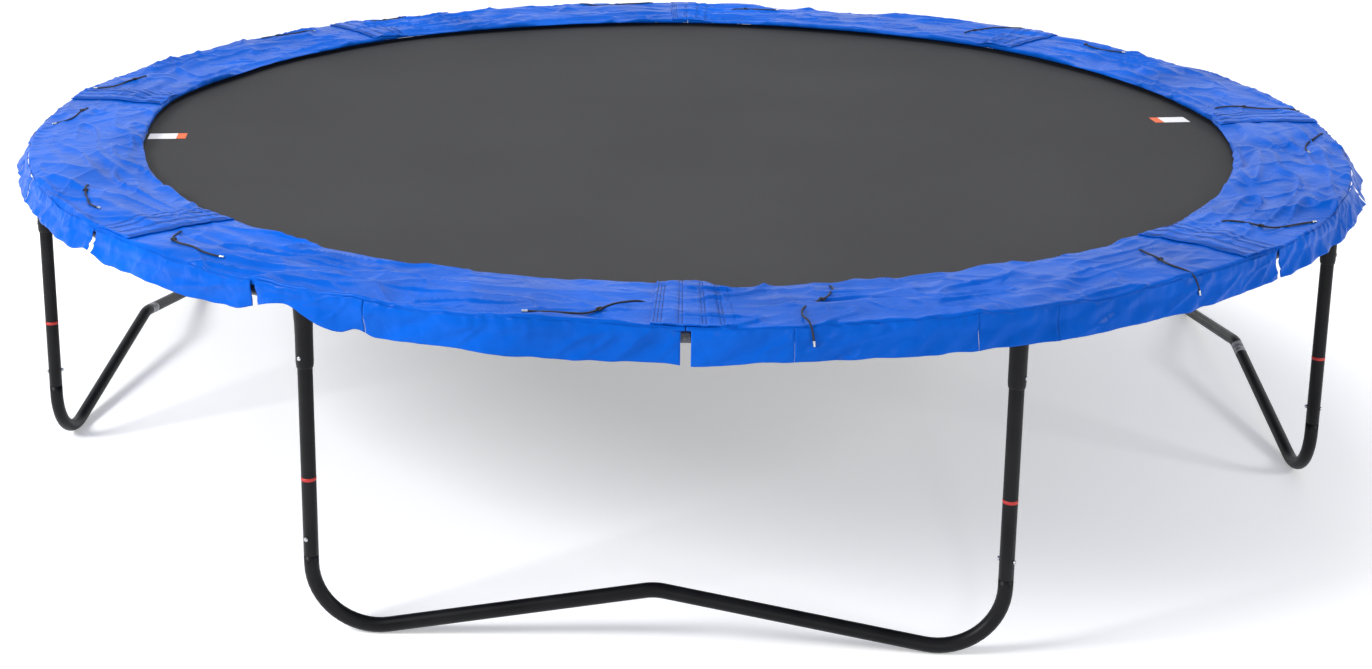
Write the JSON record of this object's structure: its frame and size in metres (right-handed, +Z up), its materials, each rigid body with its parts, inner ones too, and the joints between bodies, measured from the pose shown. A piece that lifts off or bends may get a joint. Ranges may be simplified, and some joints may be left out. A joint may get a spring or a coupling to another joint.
{
  "type": "trampoline",
  "caption": "Round garden trampoline: sprung jumping mat in a steel ring on W-shaped legs, with a sectioned padded spring cover and loose elastic ties",
  "frame": {"origin": "on the ground, under the centre of the mat", "axes": "+Z up through the centre of the mat, -Y to the front leg, +X to the right leg"},
  "size_m": [4.2999, 4.2999, 0.9391],
  "materials": {
    "galvanised_steel": "dull galvanised",
    "black_steel": "satin",
    "blue_vinyl": "gloss",
    "black_elastic": "braided",
    "crimp_metal": "satin",
    "zinc_plate": "satin",
    "red_tape": "satin",
    "blank_sticker": "satin",
    "woven_mat": "woven",
    "black_webbing": "woven",
    "spring_steel": "zinc",
    "blank_label": "matt"
  },
  "bodies": {
    "frame": {"ring_section_1": "galvanised_steel", "ring_section_2": "galvanised_steel", "ring_section_3": "galvanised_steel", "ring_section_4": "galvanised_steel", "ring_section_5": "galvanised_steel", "ring_section_6": "galvanised_steel", "ring_section_7": "galvanised_steel", "ring_section_8": "galvanised_steel", "upright_1": "black_steel", "upright_2": "black_steel", "upright_3": "black_steel", "upright_4": "black_steel", "upright_5": "black_steel", "upright_6": "black_steel", "upright_7": "black_steel", "upright_8": "black_steel", "base_1": "black_steel", "base_2": "black_steel", "base_3": "black_steel", "base_4": "black_steel", "pad_1": "blue_vinyl", "pad_2": "blue_vinyl", "pad_3": "blue_vinyl", "pad_4": "blue_vinyl", "pad_5": "blue_vinyl", "pad_6": "blue_vinyl", "pad_7": "blue_vinyl", "pad_8": "blue_vinyl", "tie_cord_1": "black_elastic", "tie_cord_2": "black_elastic", "tie_cord_3": "black_elastic", "tie_cord_4": "black_elastic", "tie_cord_5": "black_elastic", "tie_cord_6": "black_elastic", "tie_cord_7": "black_elastic", "tie_cord_8": "black_elastic", "tie_cord_9": "black_elastic", "tie_cord_10": "black_elastic", "tie_cord_11": "black_elastic", "tie_cord_12": "black_elastic", "tie_cord_13": "black_elastic", "tie_cord_14": "black_elastic", "tie_cord_15": "black_elastic", "tie_cord_16": "black_elastic", "cord_knots": "black_elastic", "cord_tips": "crimp_metal", "springs": "spring_steel", "leg_stickers": "blank_sticker", "red_bands": "red_tape", "socket_screws": "zinc_plate", "base_bolts": "zinc_plate"},
    "mat_panel": {"mat": "woven_mat", "mat_webbing": "black_webbing", "spring_rings": "zinc_plate", "mat_labels": "blank_label"}
  },
  "joints": [
    {"name": "mat_bounce", "type": "slide", "parent": "frame", "child": "mat_panel", "axis": [0, 0, 1], "range_m": [-0.2, 0.008], "stiffness_N_per_m": 6000, "deforming": ["springs"]}
  ]
}
